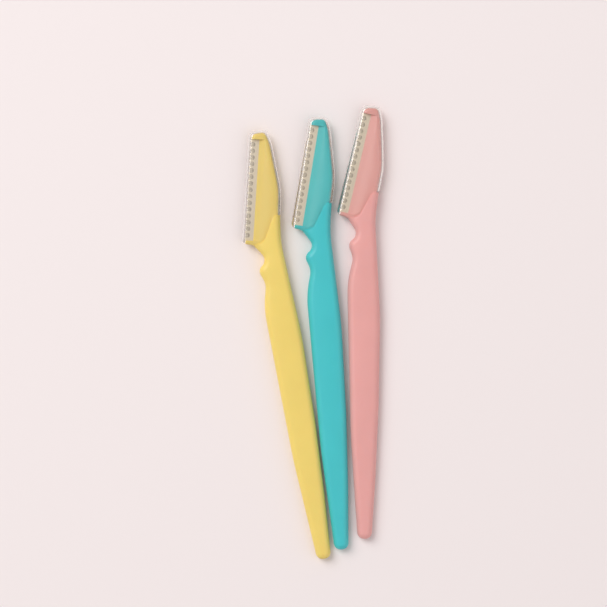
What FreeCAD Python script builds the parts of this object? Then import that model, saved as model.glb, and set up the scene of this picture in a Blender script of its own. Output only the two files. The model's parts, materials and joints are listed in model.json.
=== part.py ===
import FreeCAD, Part
import math
import os
import Sketcher

# Three eyebrow razors that lie side by side on a table, their tails together and their caps on.
# Each is a moulded handle, a steel blade, a perforated steel safety cover and a clear cap.
# Lengths are in millimetres and angles in degrees.
#
# A razor is drawn in a frame of its own: the tail stands at the origin, the tip lies towards +Y,
# the spine towards +X, the cutting edge towards -X, and the table is the plane Z = 0.
# The blade and its cover are drawn in the blade's frame: the heel of the cutting edge is the
# origin, the edge runs along +Y, +X points into the handle, and Z = 0 halves the steel.
SIZES = (
    # Grip
    ("grip_length", 96.0, "tail to the mouth of the cap, on the blade side"),
    ("grip_thick", 4.5, "thickness of the grip at the mouth"),
    ("tail_thick", 3.4, "thickness of the tail"),
    ("tail_half", 2.1, "half the width of the tail"),
    ("tail_round", 2.0, "corners of the tail"),
    ("spine_reach", 3.6, "axis to the spine where the grip is widest"),
    ("neck_reach", 1.6, "axis to the spine at the neck"),
    ("neck_round", 40.0, "hollow of the spine at the neck"),
    ("long_round", 130.0, "long curves of the sides"),
    ("taper_round", 60.0, "curve of the spine near the tail"),
    ("belly_reach", 6.45, "axis to the widest place of the blade side"),
    ("belly_round", 30.0, "swell of the blade side"),
    ("belly_drop", 19.0, "mouth down to the swell"),
    ("flank_reach", 4.7, "axis to the blade side where the tail's taper begins"),
    ("edge_round", 1.8, "rounding of the grip's upper edges"),
    ("base_bevel", 0.8, "bevel of the grip's lower edges"),
    # Finger hollows
    ("hollow_reach", 3.3, "axis to the corner of the hollow next to the head"),
    ("hollow_drop", 4.7, "mouth down to that hollow"),
    ("hollow_round", 2.4, "curve of that hollow"),
    ("crest_reach", 6.5, "axis to the corner of the crest between the hollows"),
    ("crest_drop", 7.4, "mouth down to the crest"),
    ("crest_round", 2.2, "curve of the crest"),
    ("dip_reach", 4.75, "axis to the corner of the shallow hollow"),
    ("dip_drop", 11.8, "mouth down to the shallow hollow"),
    ("dip_round", 5.0, "curve of the shallow hollow"),
    # Mouth line, where the cap meets the grip
    ("heel_reach", 6.6, "axis to the heel of the grip"),
    ("heel_angle", 34.0, "angle of the grip's side to the axis at the heel"),
    ("heel_rise", 0.9, "heel up to the corner of the cap on the blade side"),
    ("heel_round", 2.0, "rounding of that corner"),
    ("lower_bend_reach", 3.3, "axis to the lower bend of the mouth line"),
    ("lower_bend_rise", 0.7, "heel up to the lower bend"),
    ("lower_bend_round", 2.0, "rounding of the lower bend"),
    ("upper_bend_reach", 0.7, "axis to the upper bend of the mouth line"),
    ("mouth_rise", 8.0, "heel up to the mouth line at the spine"),
    ("upper_bend_round", 1.5, "rounding of the upper bend"),
    ("mouth_reach", 2.6, "axis to the spine of the grip at the mouth line"),
    ("mouth_gap", 0.3, "grip to the rim of the cap"),
    # Head, the thin part under the cap
    ("head_thick", 3.0, "thickness of the head"),
    ("head_bevel", 0.6, "bevel of the head's edges"),
    ("head_root", 3.0, "depth of the head's root in the grip"),
    ("bulge_reach", 3.35, "axis to the spine of the head at its bulge"),
    ("bulge_rise", 15.5, "mouth up to the bulge"),
    ("bulge_round", 25.0, "curve of the bulge"),
    ("brow_reach", 2.7, "axis to the spine below the tip"),
    ("brow_drop", 3.7, "tip down to that place"),
    ("brow_round", 10.0, "curve of the spine there"),
    ("tip_half", 1.9, "axis to the tip's corner on the spine side"),
    ("tip_round", 1.5, "corners of the tip"),
    ("tip_land", 1.4, "end of the cutting edge up to the tip"),
    ("land_inset", 0.15, "cutting edge back to the plastic at both ends of the blade"),
    ("land_drop", 0.9, "heel of the cutting edge down to the end of that plastic"),
    ("lip_thick", 1.1, "thickness across the lips that hold the blade"),
    ("lip_bevel", 1.75, "width of the slope from the lips to the full thickness"),
    # Blade
    ("edge_reach", 8.95, "axis to the cutting edge at its heel"),
    ("edge_rise", 2.1, "mouth up to the heel of the cutting edge"),
    ("edge_angle", 12.3, "angle of the cutting edge to the axis"),
    ("blade_length", 30.4, "length of the cutting edge"),
    ("blade_width", 4.3, "cutting edge to the back of the blade"),
    ("blade_thick", 0.2, "thickness of the blade"),
    ("ground_width", 0.9, "width of the ground bevels"),
    ("edge_flat", 0.02, "thickness left at the cutting edge"),
    ("seat_gap", 0.02, "clearance of the steel in its seats"),
    ("exposed_width", 2.45, "cutting edge to the lips"),
    ("peg_width", 0.9, "thickness of the pegs through the blade"),
    ("peg_inset", 3.55, "cutting edge to the middle of the pegs"),
    ("peg_margin", 4.0, "end of the blade to the first peg"),
    ("peg_count", 2.0, "number of pegs"),
    # Safety cover
    ("cover_sheet", 0.15, "thickness of the cover"),
    ("cover_flank", 2.95, "cutting edge to the rim of the cover"),
    ("fold_reach", 0.22, "cutting edge out to the outside of the fold"),
    ("fold_bevel", 0.13, "bevels on the outside of the fold"),
    ("window_width", 1.35, "width of a window"),
    ("window_reach", 1.35, "cutting edge to the top of a window's arch"),
    ("window_spring", 0.55, "height of the arch, from its springing to its top"),
    ("window_margin", 0.875, "end of the cutting edge to the first window"),
    ("window_count", 15.0, "number of windows"),
    # Cap
    ("cap_thick", 4.6, "thickness of the cap"),
    ("cap_wall", 0.55, "wall of the cap"),
    ("cap_gap", 0.25, "head to the inside of the cap"),
    ("cap_bevel", 0.95, "bevel of the cap's edges"),
    ("cap_core_bevel", 0.6, "bevel of the hollow's edges"),
    ("cap_tip_round", 2.1, "corners of the cap's tip"),
    ("cap_core_tip_round", 1.5, "the same corners of the hollow"),
    ("cap_proud", 0.2, "cap beyond the grip at the spine"),
    ("overrun", 3.0, "length by which a cut runs past what it cuts"),
    # Lie of the razors on the table: the tail's place and the lean of the axis
    ("yellow_across", 3.3, "tail of the yellow razor, across"),
    ("yellow_along", -67.97, "tail of the yellow razor, along"),
    ("yellow_angle", 8.75, "lean of the yellow razor"),
    ("turquoise_across", 8.5, "tail of the turquoise razor, across"),
    ("turquoise_along", -65.17, "tail of the turquoise razor, along"),
    ("turquoise_angle", 3.05, "lean of the turquoise razor"),
    ("pink_across", 15.4, "tail of the pink razor, across"),
    ("pink_along", -61.97, "tail of the pink razor, along"),
    ("pink_angle", -0.92, "lean of the pink razor"),
)
RAZORS = ("yellow", "turquoise", "pink")

# Places along the grip, as shares of its length, and across it, as shares of its reach.
taper_height_share = 0.2
taper_reach_share = 0.84
wide_start_share = 0.42
wide_end_share = 0.7
flank_height_share = 0.32
root_reach_share = 0.4
# Haunch of an arch, as a share of the arch's height from the top and from the side.
haunch_share = 0.29
# Heights that differ by less than this share of the grip's thickness are the same height.
same_height_share = 1e-4

# Expressions that several sketches share.
MOUTH_TOP = "(Size.grip_length + Size.mouth_rise)"
EDGE_HEEL = "(Size.grip_length + Size.edge_rise)"
TIP_CLIMB = "(Size.blade_length * cos(Size.edge_angle) + Size.tip_land)"
TIP = f"({EDGE_HEEL} + {TIP_CLIMB})"
HEAD_MID = "(Size.cap_thick / 2)"
TAPER = "asin((Size.grip_thick - Size.tail_thick) / Size.grip_length)"
CAP_SKIN = "(Size.cap_gap + Size.cap_wall)"
COVER_INSIDE = "(Size.blade_thick / 2 + Size.seat_gap)"
COVER_OUTSIDE = f"({COVER_INSIDE} + Size.cover_sheet)"
COVER_SEAT = f"({COVER_OUTSIDE} + Size.seat_gap)"

doc = FreeCAD.newDocument("eyebrow_razors")
sheet = doc.addObject("Spreadsheet::Sheet", "Size")


def fill_sheet():
    """Write each size into the sheet: its meaning, its value and its alias."""
    for row, (alias, value, meaning) in enumerate(SIZES, start=1):
        sheet.set(f"A{row}", meaning)
        sheet.set(f"B{row}", str(value))
        sheet.setAlias(f"B{row}", alias)
    doc.recompute()


def new_body(razor, piece):
    """A body labelled with its node's name."""
    body = doc.addObject("PartDesign::Body", f"{razor}_{piece}")
    body.Label = f"{razor}_{piece}"
    return body


def new_sketch(body, name, role="XY_Plane", shift=("0", "0", "0")):
    """A sketch on one of the body's planes, shifted along that plane's own axes."""
    sketch = body.newObject("Sketcher::SketchObject", name)
    plane = next(f for f in body.Origin.OriginFeatures if f.Role == role)
    sketch.AttachmentSupport = [(plane, "")]
    sketch.MapMode = "FlatFace"
    for axis, expression in zip("xyz", shift):
        sketch.setExpression(f"AttachmentOffset.Base.{axis}", expression)
    return sketch


def new_edge_sketch(body, name, height):
    """A flat sketch in the blade's frame: upright along the cutting edge, from its heel."""
    shift = ("-Size.edge_reach", EDGE_HEEL, height)
    sketch = new_sketch(body, name, "XY_Plane", shift)
    turn_to_edge(sketch, FreeCAD.Vector(0, 0, 1))
    return sketch


def new_edge_section(body, name):
    """An upright sketch in the blade's frame, square to the cutting edge at its heel."""
    shift = ("-Size.edge_reach", HEAD_MID, f"-{EDGE_HEEL}")
    sketch = new_sketch(body, name, "XZ_Plane", shift)
    turn_to_edge(sketch, FreeCAD.Vector(0, 1, 0))
    return sketch


def turn_to_edge(sketch, upright):
    """Turn a sketch about its plane's own upright to follow the cutting edge."""
    offset = sketch.AttachmentOffset
    offset.Rotation = FreeCAD.Rotation(upright, -sheet.get("edge_angle"))
    sketch.AttachmentOffset = offset
    sketch.setExpression("AttachmentOffset.Rotation.Angle", "-Size.edge_angle")


def pin_point(sketch, geometry, position, across, along):
    """Hold a point of the sketch at two expressions."""
    for kind, expression in (("DistanceX", across), ("DistanceY", along)):
        index = sketch.addConstraint(Sketcher.Constraint(kind, -1, 1, geometry, position, 0.0))
        sketch.setExpression(f"Constraints[{index}]", expression)


def corner_arc(before, corner, after, radius):
    """Start, end and arc of a rounded corner, and whether it turns against the clock."""
    to_before = (before - corner).normalize()
    to_after = (after - corner).normalize()
    half_angle = to_before.getAngle(to_after) / 2
    start = corner + to_before * (radius / math.tan(half_angle))
    end = corner + to_after * (radius / math.tan(half_angle))
    centre = corner + (to_before + to_after).normalize() * (radius / math.sin(half_angle))
    left_turn = to_before.cross(to_after).z < 0
    first, last = (start, end) if left_turn else (end, start)
    first_angle = math.atan2(first.y - centre.y, first.x - centre.x)
    last_angle = math.atan2(last.y - centre.y, last.x - centre.x)
    if last_angle < first_angle:
        last_angle += math.tau
    circle = Part.Circle(centre, FreeCAD.Vector(0, 0, 1), radius)
    return start, end, Part.ArcOfCircle(circle, first_angle, last_angle), left_turn


def rounded_profile(sketch, corners):
    """Close straight runs through the corners. A row is across, along and the rounding's alias."""
    points = []
    for across, along, _ in corners:
        points.append(sketch.addGeometry(Part.Point(FreeCAD.Vector()), True))
        pin_point(sketch, points[-1], 1, across, along)
    sketch.recompute()
    places = [FreeCAD.Vector(sketch.Geometry[p].X, sketch.Geometry[p].Y, 0) for p in points]
    following = places[1:] + places[:1]
    bends = []
    for before, here, after, (_, _, alias) in zip([places[-1]] + places, places, following, corners):
        bends.append(corner_arc(before, here, after, sheet.get(alias)) if alias
                     else (here, here, None, True))
    runs = []
    for bend, next_bend in zip(bends, bends[1:] + bends[:1]):
        runs.append(sketch.addGeometry(Part.LineSegment(bend[1], next_bend[0])))
    for point, into, out, bend, (_, _, alias) in zip(points, runs[-1:] + runs, runs, bends, corners):
        join_runs(sketch, point, into, out, bend, alias)
    sketch.recompute()


def join_runs(sketch, point, into, out, bend, alias):
    """Join two runs at a corner point, by an arc of the alias's radius where it has one."""
    _, _, arc, left_turn = bend
    if arc is None:
        sketch.addConstraint(Sketcher.Constraint("Coincident", into, 2, out, 1))
        sketch.addConstraint(Sketcher.Constraint("Coincident", out, 1, point, 1))
        return
    curve = sketch.addGeometry(arc)
    enter, leave = (1, 2) if left_turn else (2, 1)
    sketch.addConstraint(Sketcher.Constraint("Tangent", into, 2, curve, enter))
    sketch.addConstraint(Sketcher.Constraint("Tangent", curve, leave, out, 1))
    sketch.addConstraint(Sketcher.Constraint("PointOnObject", point, 1, into))
    sketch.addConstraint(Sketcher.Constraint("PointOnObject", point, 1, out))
    radius = sketch.addConstraint(Sketcher.Constraint("Radius", curve, sheet.get(alias)))
    sketch.setExpression(f"Constraints[{radius}]", f"Size.{alias}")


def circle_profile(sketch, across, along, width):
    """A circle with its middle at two expressions."""
    circle = sketch.addGeometry(Part.Circle(FreeCAD.Vector(), FreeCAD.Vector(0, 0, 1), 1))
    pin_point(sketch, circle, 3, across, along)
    diameter = sketch.addConstraint(Sketcher.Constraint("Diameter", circle, 1.0))
    sketch.setExpression(f"Constraints[{diameter}]", width)
    sketch.recompute()


def build(feature):
    """Build a feature and stop if it or what it needs has failed."""
    doc.recompute()
    for item in doc.Objects:
        if "Invalid" in item.State or "Error" in item.State:
            raise RuntimeError(f"{item.Label} failed: {item.getStatusString()}")
    return feature


def build_cut(body, feature):
    """Build a feature that takes material away, and stop if it took none."""
    before = feature.BaseFeature.Shape.Volume
    build(feature)
    if not body.Shape.Volume < before:
        raise RuntimeError(f"{body.Label}: {feature.Label} cuts nothing")
    return feature


def pad(body, name, sketch, length, reverse=False):
    """Material along the sketch's normal, or against it."""
    feature = body.newObject("PartDesign::Pad", name)
    feature.Profile = sketch
    feature.Reversed = reverse
    feature.setExpression("Length", length)
    return build(feature)


def pocket(body, name, sketch, length=None):
    """A cut against the sketch's normal, or through everything on both sides of it."""
    feature = body.newObject("PartDesign::Pocket", name)
    feature.Profile = sketch
    if length:
        feature.setExpression("Length", length)
    else:
        feature.Type = "ThroughAll"
        feature.SideType = "Symmetric"
    return build_cut(body, feature)


def fillet(body, name, radius, wanted):
    """Round the edges that the test picks from the body's present shape."""
    base = body.Tip
    edges = [f"Edge{i}" for i, edge in enumerate(base.Shape.Edges, start=1) if wanted(edge)]
    feature = body.newObject("PartDesign::Fillet", name)
    feature.Base = (base, edges)
    feature.setExpression("Radius", radius)
    return build(feature)


def bevel(body, name, size, wanted):
    """Bevel the edges that the test picks from the body's present shape."""
    base = body.Tip
    edges = [f"Edge{i}" for i, edge in enumerate(base.Shape.Edges, start=1) if wanted(edge)]
    feature = body.newObject("PartDesign::Chamfer", name)
    feature.Base = (base, edges)
    feature.setExpression("Size", size)
    return build(feature)


def pattern(body, name, original, sketch, length, count):
    """Repeat a feature along its sketch's upright axis, evenly over a length."""
    feature = body.newObject("PartDesign::LinearPattern", name)
    feature.Originals = [original]
    feature.Direction = (sketch, ["V_Axis"])
    feature.setExpression("Length", length)
    feature.setExpression("Occurrences", count)
    body.Tip = feature
    return build(feature)


def near(one, other):
    """Whether two heights are the same."""
    return abs(one - other) < same_height_share * sheet.get("grip_thick")


def lies_at(edge, height):
    """Whether an edge lies flat at a height of its body's own frame."""
    return near(edge.BoundBox.ZMin, height) and near(edge.BoundBox.ZMax, height)


def lay_down(body, razor):
    """Place a body that is drawn in the razor's frame on the table."""
    body.setExpression("Placement.Base.x", f"Size.{razor}_across")
    body.setExpression("Placement.Base.y", f"Size.{razor}_along")
    body.setExpression("Placement.Rotation.Angle", f"Size.{razor}_angle")


def lay_on_edge(body, razor):
    """Place a body that is drawn in the blade's frame in its razor's head."""
    lean = f"Size.{razor}_angle"
    body.setExpression("Placement.Base.x", f"Size.{razor}_across - Size.edge_reach * cos({lean})"
                       f" - {EDGE_HEEL} * sin({lean})")
    body.setExpression("Placement.Base.y", f"Size.{razor}_along - Size.edge_reach * sin({lean})"
                       f" + {EDGE_HEEL} * cos({lean})")
    body.setExpression("Placement.Base.z", HEAD_MID)
    body.setExpression("Placement.Rotation.Angle", f"{lean} - Size.edge_angle")


def grip_corners():
    """Outline of the grip, on past the mouth line: up the spine and back down the blade side."""
    beyond = f"{MOUTH_TOP} + Size.overrun"
    heel_side = "-(Size.heel_reach + Size.overrun * tan(Size.heel_angle))"
    return (
        ("Size.tail_half", "0", "tail_round"),
        (f"{taper_reach_share} * Size.spine_reach", f"{taper_height_share} * Size.grip_length",
         "taper_round"),
        ("Size.spine_reach", f"{wide_start_share} * Size.grip_length", "long_round"),
        ("Size.spine_reach", f"{wide_end_share} * Size.grip_length", "long_round"),
        ("Size.neck_reach", "Size.grip_length", "neck_round"),
        ("Size.mouth_reach", MOUTH_TOP, None),
        ("Size.mouth_reach", beyond, None),
        (heel_side, beyond, None),
        (heel_side, "Size.grip_length + Size.overrun", None),
        ("-Size.hollow_reach", "Size.grip_length - Size.hollow_drop", "hollow_round"),
        ("-Size.crest_reach", "Size.grip_length - Size.crest_drop", "crest_round"),
        ("-Size.dip_reach", "Size.grip_length - Size.dip_drop", "dip_round"),
        ("-Size.belly_reach", "Size.grip_length - Size.belly_drop", "belly_round"),
        ("-Size.flank_reach", f"{flank_height_share} * Size.grip_length", "long_round"),
        ("-Size.tail_half", "0", "tail_round"),
    )


def mouth_line(lift):
    """The mouth line from the spine to the heel, lifted towards the tip."""
    return (
        ("Size.spine_reach + Size.overrun", f"{MOUTH_TOP} + {lift}", None),
        ("Size.upper_bend_reach", f"{MOUTH_TOP} + {lift}", "upper_bend_round"),
        ("-Size.lower_bend_reach", f"Size.grip_length + Size.lower_bend_rise + {lift}",
         "lower_bend_round"),
        ("-Size.heel_reach", f"Size.grip_length + {lift}", None),
    )


def above_mouth():
    """What lies beyond the mouth line, to cut from the grip."""
    outside, far = "-(Size.heel_reach + Size.overrun)", f"{MOUTH_TOP} + 2 * Size.overrun"
    return mouth_line("0") + (
        (outside, "Size.grip_length + Size.heel_rise", None),
        (outside, far, None),
        ("Size.spine_reach + Size.overrun", far, None),
    )


def below_mouth():
    """What lies below the cap's rim, to cut from the cap, with the cap's corner rounded."""
    corner = "Size.grip_length + Size.mouth_gap + Size.heel_rise"
    high, low = f"{EDGE_HEEL} + Size.overrun", "Size.grip_length - 2 * Size.overrun"
    side = f"-(Size.fold_reach + {CAP_SKIN} + Size.seat_gap)"
    outside = "-(Size.edge_reach + 2 * Size.overrun)"
    return mouth_line("Size.mouth_gap") + (
        (edge_line(side, f"({corner})"), corner, "heel_round"),
        (edge_line(side, f"({high})"), high, None),
        (outside, high, None),
        (outside, low, None),
        ("Size.spine_reach + Size.overrun", low, None),
    )


def head_corners():
    """Outline of the head, from its root in the grip up the spine and back along the edge."""
    inset = "Size.land_inset"
    heel_across = f"{inset} * cos(Size.edge_angle) - Size.land_drop * sin(Size.edge_angle)"
    heel_along = f"{inset} * sin(Size.edge_angle) + Size.land_drop * cos(Size.edge_angle)"
    return (
        (f"{root_reach_share} * Size.neck_reach", "Size.grip_length - Size.head_root", None),
        (f"Size.mouth_reach + Size.cap_proud - {CAP_SKIN}", MOUTH_TOP, None),
        ("Size.bulge_reach", "Size.grip_length + Size.bulge_rise", "bulge_round"),
        ("Size.brow_reach", f"{TIP} - Size.brow_drop", "brow_round"),
        ("Size.tip_half", TIP, "tip_round"),
        (edge_line(inset, TIP), TIP, "tip_round"),
        (f"-Size.edge_reach + {heel_across}", f"{EDGE_HEEL} - ({heel_along})", None),
        ("-Size.heel_reach + Size.mouth_gap", "Size.grip_length", None),
        ("-Size.hollow_reach", "Size.grip_length - Size.head_root", None),
    )


def edge_line(inset, along):
    """Where a line parallel to the cutting edge and inset from it meets a height."""
    climb = f"({along} - {EDGE_HEEL})"
    return (f"-Size.edge_reach + ({inset}) / cos(Size.edge_angle)"
            f" + {climb} * tan(Size.edge_angle)")


def cap_corners(skin, tip_round):
    """Outline of the cap, a skin outside the head, on past the mouth line."""
    low = "Size.grip_length - Size.overrun"
    outside = f"-(Size.fold_reach + {skin})"
    spine = f"Size.mouth_reach + Size.cap_proud - {CAP_SKIN} + {skin}"
    return (
        (spine, low, None),
        (spine, MOUTH_TOP, None),
        (f"Size.bulge_reach + {skin}", "Size.grip_length + Size.bulge_rise", "bulge_round"),
        (f"Size.brow_reach + {skin}", f"{TIP} - Size.brow_drop", "brow_round"),
        (f"Size.tip_half + {skin}", f"{TIP} + {skin}", tip_round),
        (edge_line(outside, f"({TIP} + {skin})"), f"{TIP} + {skin}", tip_round),
        (edge_line(outside, f"({low})"), low, None),
    )


def box_corners(left, right, low, high, shoulder=None):
    """A rectangle, its two right-hand corners rounded if an alias says so."""
    return ((left, low, None), (right, low, shoulder), (right, high, shoulder), (left, high, None))


def make_grip(razor):
    """The grip: its outline lies on the upper face, which falls towards the tail."""
    body = new_body(razor, "grip")
    outline = new_sketch(body, "grip_outline", shift=("0", "0", "Size.tail_thick"))
    offset = outline.AttachmentOffset
    offset.Rotation = FreeCAD.Rotation(FreeCAD.Vector(1, 0, 0), 1)
    outline.AttachmentOffset = offset
    outline.setExpression("AttachmentOffset.Rotation.Angle", TAPER)
    rounded_profile(outline, grip_corners())
    pad(body, "grip", outline, "Size.grip_thick + Size.overrun", reverse=True)
    reach = "(Size.heel_reach + 2 * Size.overrun)"
    underside = new_sketch(body, "underside")
    rounded_profile(underside, box_corners(f"-{reach}", reach, "-Size.overrun",
                                           f"{MOUTH_TOP} + 2 * Size.overrun"))
    pocket(body, "flat_underside", underside, "Size.grip_thick + Size.overrun")
    half = sheet.get("tail_thick") / 2
    fillet(body, "upper_edges", "Size.edge_round", lambda edge: edge.BoundBox.ZMin > half)
    bevel(body, "lower_edges", "Size.base_bevel", lambda edge: lies_at(edge, 0))
    mouth = new_sketch(body, "grip_mouth")
    rounded_profile(mouth, above_mouth())
    pocket(body, "mouth_step", mouth)
    return body


def make_head(razor):
    """The thin head, bevelled all round, that holds the blade and carries the cap."""
    body = new_body(razor, "head")
    thick, middle = sheet.get("head_thick"), sheet.get("cap_thick") / 2
    floor = f"{HEAD_MID} - Size.head_thick / 2"
    outline = new_sketch(body, "head_outline", shift=("0", "0", floor))
    rounded_profile(outline, head_corners())
    pad(body, "head", outline, "Size.head_thick")
    bevel(body, "head_edges", "Size.head_bevel",
          lambda edge: lies_at(edge, middle - thick / 2) or lies_at(edge, middle + thick / 2))
    cut_blade_seat(body)
    add_pegs(body)
    return body


def cut_blade_seat(body):
    """Clear the cutting edge, slope the plastic down to its lips and open the steel's seats."""
    notch = new_edge_sketch(body, "edge_notch", HEAD_MID)
    rounded_profile(notch, box_corners("-Size.overrun", "Size.exposed_width", "0",
                                       "Size.blade_length"))
    pocket(body, "edge_clearance", notch)
    slopes = new_edge_section(body, "lip_slopes")
    top_of_slope = "Size.exposed_width + Size.lip_bevel"
    for side in ("", "-"):
        rounded_profile(slopes, (
            ("Size.exposed_width", f"{side}Size.lip_thick / 2", None),
            (top_of_slope, f"{side}Size.head_thick / 2", None),
            (top_of_slope, f"{side}(Size.head_thick / 2 + Size.overrun)", None),
            ("Size.exposed_width", f"{side}(Size.head_thick / 2 + Size.overrun)", None),
        ))
    pocket(body, "lip_bevels", slopes, "Size.blade_length")
    seats = (("cover", f"{COVER_SEAT}", "Size.cover_flank + Size.seat_gap"),
             ("blade", f"{COVER_INSIDE}", "Size.blade_width + Size.seat_gap"))
    for steel, half, depth in seats:
        seat = new_edge_sketch(body, f"{steel}_seat_outline", f"{HEAD_MID} + {half}")
        rounded_profile(seat, box_corners("0", depth, "0", "Size.blade_length"))
        pocket(body, f"{steel}_seat", seat, f"2 * {half}")


def add_pegs(body):
    """Pegs from lip to lip, through the holes of the blade."""
    circle = new_edge_sketch(body, "peg_circle", f"{HEAD_MID} - {COVER_INSIDE}")
    circle_profile(circle, "Size.peg_inset", "Size.peg_margin", "Size.peg_width")
    peg = pad(body, "peg", circle, f"2 * {COVER_INSIDE}")
    pattern(body, "pegs", peg, circle, "Size.blade_length - 2 * Size.peg_margin", "Size.peg_count")


def make_handle(razor):
    """The one-piece moulded handle: the grip with the head grown out of it."""
    grip = make_grip(razor)
    head = make_head(razor)
    handle = doc.addObject("Part::Fuse", f"{razor}_handle")
    handle.Label = f"{razor}_handle"
    handle.Base = grip
    handle.Tool = head
    lay_down(handle, razor)
    return build(handle)


def make_blade(razor):
    """A steel strip, ground on both sides of its edge, with a row of holes for the pegs."""
    body = new_body(razor, "blade")
    section = new_sketch(body, "blade_section", "XZ_Plane", ("0", "0", "-Size.seat_gap"))
    rounded_profile(section, (
        ("0", "-Size.edge_flat / 2", None),
        ("0", "Size.edge_flat / 2", None),
        ("Size.ground_width", "Size.blade_thick / 2", None),
        ("Size.blade_width", "Size.blade_thick / 2", None),
        ("Size.blade_width", "-Size.blade_thick / 2", None),
        ("Size.ground_width", "-Size.blade_thick / 2", None),
    ))
    pad(body, "blade", section, "Size.blade_length - 2 * Size.seat_gap", reverse=True)
    circle = new_sketch(body, "hole_circle")
    circle_profile(circle, "Size.peg_inset", "Size.peg_margin", "Size.peg_width + 2 * Size.seat_gap")
    hole = pocket(body, "hole", circle)
    pattern(body, "holes", hole, circle, "Size.blade_length - 2 * Size.peg_margin", "Size.peg_count")
    lay_on_edge(body, razor)
    return body


def make_safety_cover(razor):
    """Thin sheet folded over the cutting edge, with a row of arched windows across the fold."""
    body = new_body(razor, "safety_cover")
    section = new_sketch(body, "fold_section", "XZ_Plane", ("0", "0", "-Size.seat_gap"))
    fold, core = "-Size.fold_reach", "Size.cover_sheet - Size.fold_reach"
    rounded_profile(section, (
        ("Size.cover_flank", COVER_OUTSIDE, None),
        (f"{fold} + Size.fold_bevel", COVER_OUTSIDE, None),
        (fold, f"{COVER_OUTSIDE} - Size.fold_bevel", None),
        (fold, f"Size.fold_bevel - {COVER_OUTSIDE}", None),
        (f"{fold} + Size.fold_bevel", f"-{COVER_OUTSIDE}", None),
        ("Size.cover_flank", f"-{COVER_OUTSIDE}", None),
        ("Size.cover_flank", f"-{COVER_INSIDE}", None),
        (core, f"-{COVER_INSIDE}", None),
        (core, COVER_INSIDE, None),
        ("Size.cover_flank", COVER_INSIDE, None),
    ))
    pad(body, "fold", section, "Size.blade_length - 2 * Size.seat_gap", reverse=True)
    arch = new_sketch(body, "window_arch")
    rounded_profile(arch, arch_corners())
    window = pocket(body, "window", arch)
    row = "Size.blade_length - 2 * Size.window_margin - Size.window_width"
    pattern(body, "windows", window, arch, row, "Size.window_count")
    lay_on_edge(body, razor)
    return body


def arch_corners():
    """A window from beyond the fold to its arch, whose round is drawn in three straight runs."""
    low, high = "Size.window_margin", "(Size.window_margin + Size.window_width)"
    spring = "Size.window_reach - Size.window_spring"
    haunch = f"{haunch_share} * Size.window_spring"
    return (
        ("-Size.overrun", low, None),
        (spring, low, None),
        (f"Size.window_reach - {haunch}", f"{low} + {haunch}", None),
        ("Size.window_reach", f"{low} + Size.window_spring", None),
        ("Size.window_reach", f"{high} - Size.window_spring", None),
        (f"Size.window_reach - {haunch}", f"{high} - {haunch}", None),
        (spring, high, None),
        ("-Size.overrun", high, None),
    )


def make_slab(razor, piece, skin, tip_round, floor, thick, edge_bevel):
    """A bevelled slab, a skin outside the head, on past the mouth line."""
    body = new_body(razor, piece)
    outline = new_sketch(body, f"{piece}_outline", shift=("0", "0", floor))
    rounded_profile(outline, cap_corners(skin, tip_round))
    slab = pad(body, piece, outline, thick)
    box = slab.Shape.BoundBox
    bevel(body, f"{piece}_edges", edge_bevel,
          lambda edge: lies_at(edge, box.ZMin) or lies_at(edge, box.ZMax))
    return body


def make_cap(razor):
    """The clear cap: a thin-walled bevelled slab, open along the mouth line."""
    shell = make_slab(razor, "shell", CAP_SKIN, "cap_tip_round", "0", "Size.cap_thick",
                      "Size.cap_bevel")
    mouth = new_sketch(shell, "cap_mouth")
    rounded_profile(mouth, below_mouth())
    pocket(shell, "mouth", mouth)
    hollow = make_slab(razor, "hollow", "Size.cap_gap", "cap_core_tip_round", "Size.cap_wall",
                       "Size.cap_thick - 2 * Size.cap_wall", "Size.cap_core_bevel")
    cap = doc.addObject("Part::Cut", f"{razor}_cap")
    cap.Label = f"{razor}_cap"
    cap.Base = shell
    cap.Tool = hollow
    lay_down(cap, razor)
    return build(cap)


def check(bodies):
    """Stop if any object failed to build, or a sub-part is empty, broken or not one solid."""
    for item in doc.Objects:
        if "Invalid" in item.State or "Error" in item.State:
            raise RuntimeError(f"{item.Label} failed: {item.State}")
    for body in bodies:
        shape = body.Shape
        if shape.isNull() or not shape.isValid() or len(shape.Solids) != 1:
            raise RuntimeError(f"{body.Label} isn't one valid solid")


def main():
    """Build the razors, check them and write one STEP file for each sub-part."""
    fill_sheet()
    bodies = []
    for razor in RAZORS:
        bodies += [make_handle(razor), make_blade(razor), make_safety_cover(razor),
                   make_cap(razor)]
    doc.recompute()
    check(bodies)
    os.makedirs("parts", exist_ok=True)
    for body in bodies:
        body.Shape.exportStep(f"parts/{body.Label}.step")
        box = body.Shape.BoundBox
        print(f"{body.Label}: volume {body.Shape.Volume:.2f}, from {box.XMin:.2f} {box.YMin:.2f}"
              f" {box.ZMin:.2f} to {box.XMax:.2f} {box.YMax:.2f} {box.ZMax:.2f}")


main()
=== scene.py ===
"""Looks of three capped eyebrow razors that lie in a fan on a pale floor.

The pieces are drawn in millimetres in a razor's own frame: the tail stands at the origin, the tip
lies towards +Y, the spine towards +X and the cutting edge towards -X. Each is then laid down,
in metres, where its razor lies.
"""
import json
import math
from types import SimpleNamespace

import bpy
from mathutils import Matrix, Vector
from mathutils.geometry import delaunay_2d_cdt


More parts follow.
